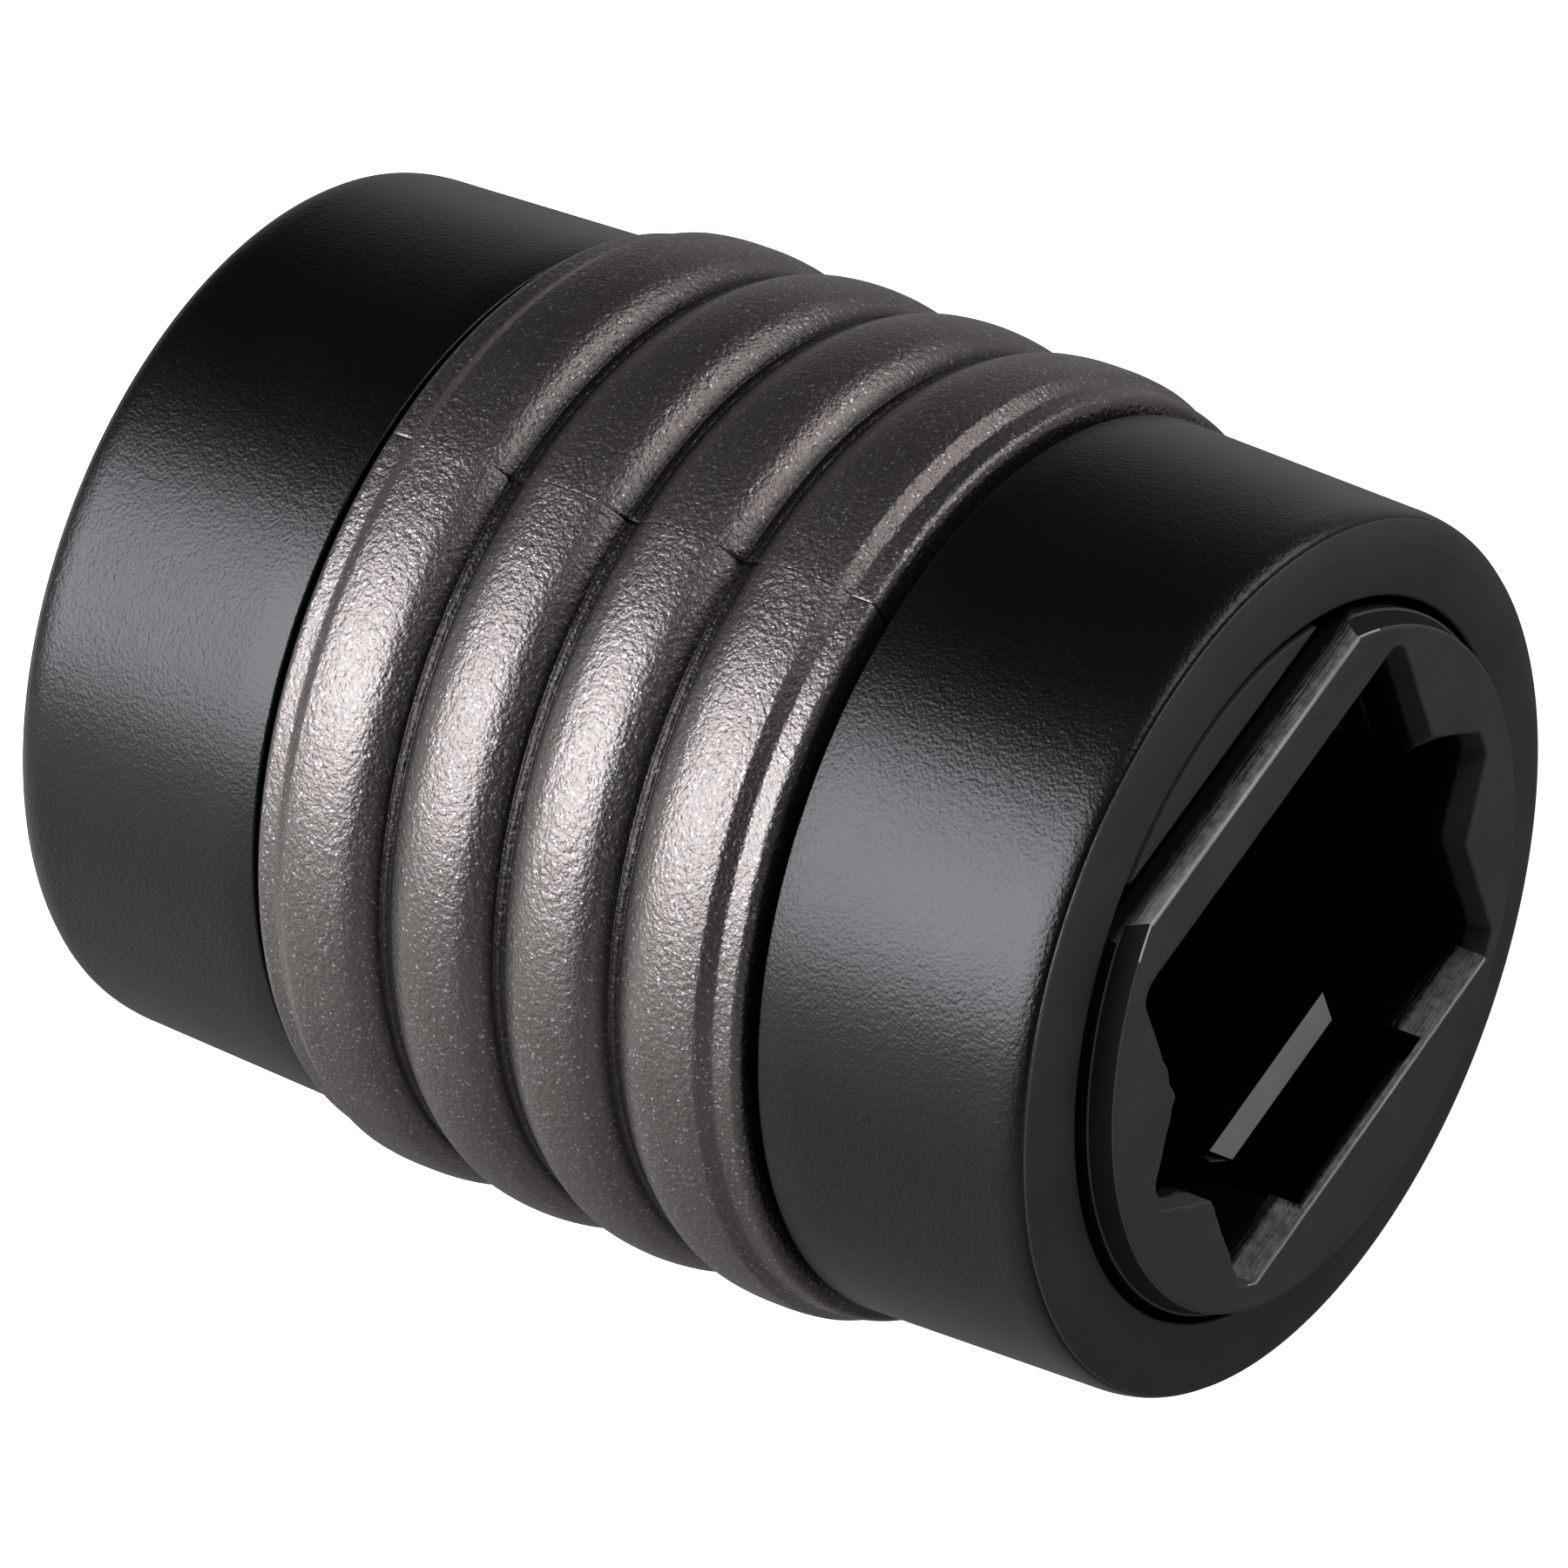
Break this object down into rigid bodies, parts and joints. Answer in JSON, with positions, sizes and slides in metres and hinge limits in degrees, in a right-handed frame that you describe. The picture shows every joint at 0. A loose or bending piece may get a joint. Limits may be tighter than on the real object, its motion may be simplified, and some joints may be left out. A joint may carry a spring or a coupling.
{
  "type": "optical audio coupler",
  "caption": "Round coupler that joins two square-plug optical audio leads end to end, with keyed sockets, smooth end sleeves and a ringed metallic grip.",
  "frame": {"origin": "centre of the bounding box, on the coupler's axis at its middle", "axes": "+Y along the coupler's axis, from the front socket (-Y) to the rear socket (+Y); +Z towards the flat of the D-shaped socket noses; X across"},
  "size_m": [0.0176, 0.0228, 0.0176],
  "materials": {
    "sleeve_black": "black moulded plastic, fine leather grain, semi-gloss",
    "grip_metallic": "grey-brown metallic paint over a finely grained moulding",
    "core_black": "plain black moulded plastic",
    "nose_grey": "dark grey moulded plastic, fine grain and scratches",
    "guide_black": "black moulded plastic",
    "spring_steel": "rolled spring steel",
    "latch_black": "black spring plastic",
    "bush_grey": "smooth dark plastic"
  },
  "bodies": {
    "root": {"front_end_sleeve": "sleeve_black", "rear_end_sleeve": "sleeve_black", "grip_shell_right": "grip_metallic", "grip_shell_left": "grip_metallic", "core_tube": "core_black", "centre_wall": "core_black", "ferrule_sleeve": "bush_grey", "front_socket_bezel": "nose_grey", "rear_socket_bezel": "nose_grey", "front_socket_body": "guide_black", "rear_socket_body": "guide_black", "front_key_segment": "nose_grey", "rear_key_segment": "nose_grey"},
    "front_latch_left": {"front_latch_left": "latch_black"},
    "front_latch_right": {"front_latch_right": "latch_black"},
    "front_floor_spring": {"front_floor_spring": "spring_steel"},
    "rear_latch_left": {"rear_latch_left": "latch_black"},
    "rear_latch_right": {"rear_latch_right": "latch_black"},
    "rear_floor_spring": {"rear_floor_spring": "spring_steel"}
  },
  "joints": [
    {"name": "front_latch_left_flex", "type": "hinge", "parent": "root", "child": "front_latch_left", "pos_m": [-0.00545, -0.00315, 0], "axis": [0, 0, -1], "range_deg": [0, 5], "stiffness_Nm_per_rad": 0.15},
    {"name": "front_latch_right_flex", "type": "hinge", "parent": "root", "child": "front_latch_right", "pos_m": [0.00545, -0.00315, 0], "axis": [0, 0, 1], "range_deg": [0, 5], "stiffness_Nm_per_rad": 0.15},
    {"name": "front_floor_spring_flex", "type": "hinge", "parent": "root", "child": "front_floor_spring", "pos_m": [0, -0.00295, -0.00485], "axis": [1, 0, 0], "range_deg": [0, 1.6], "stiffness_Nm_per_rad": 0.2},
    {"name": "rear_latch_left_flex", "type": "hinge", "parent": "root", "child": "rear_latch_left", "pos_m": [0.00545, 0.00315, 0], "axis": [0, 0, -1], "range_deg": [0, 5], "stiffness_Nm_per_rad": 0.15},
    {"name": "rear_latch_right_flex", "type": "hinge", "parent": "root", "child": "rear_latch_right", "pos_m": [-0.00545, 0.00315, 0], "axis": [0, 0, 1], "range_deg": [0, 5], "stiffness_Nm_per_rad": 0.15},
    {"name": "rear_floor_spring_flex", "type": "hinge", "parent": "root", "child": "rear_floor_spring", "pos_m": [0, 0.00295, -0.00485], "axis": [-1, 0, 0], "range_deg": [0, 1.6], "stiffness_Nm_per_rad": 0.2}
  ]
}
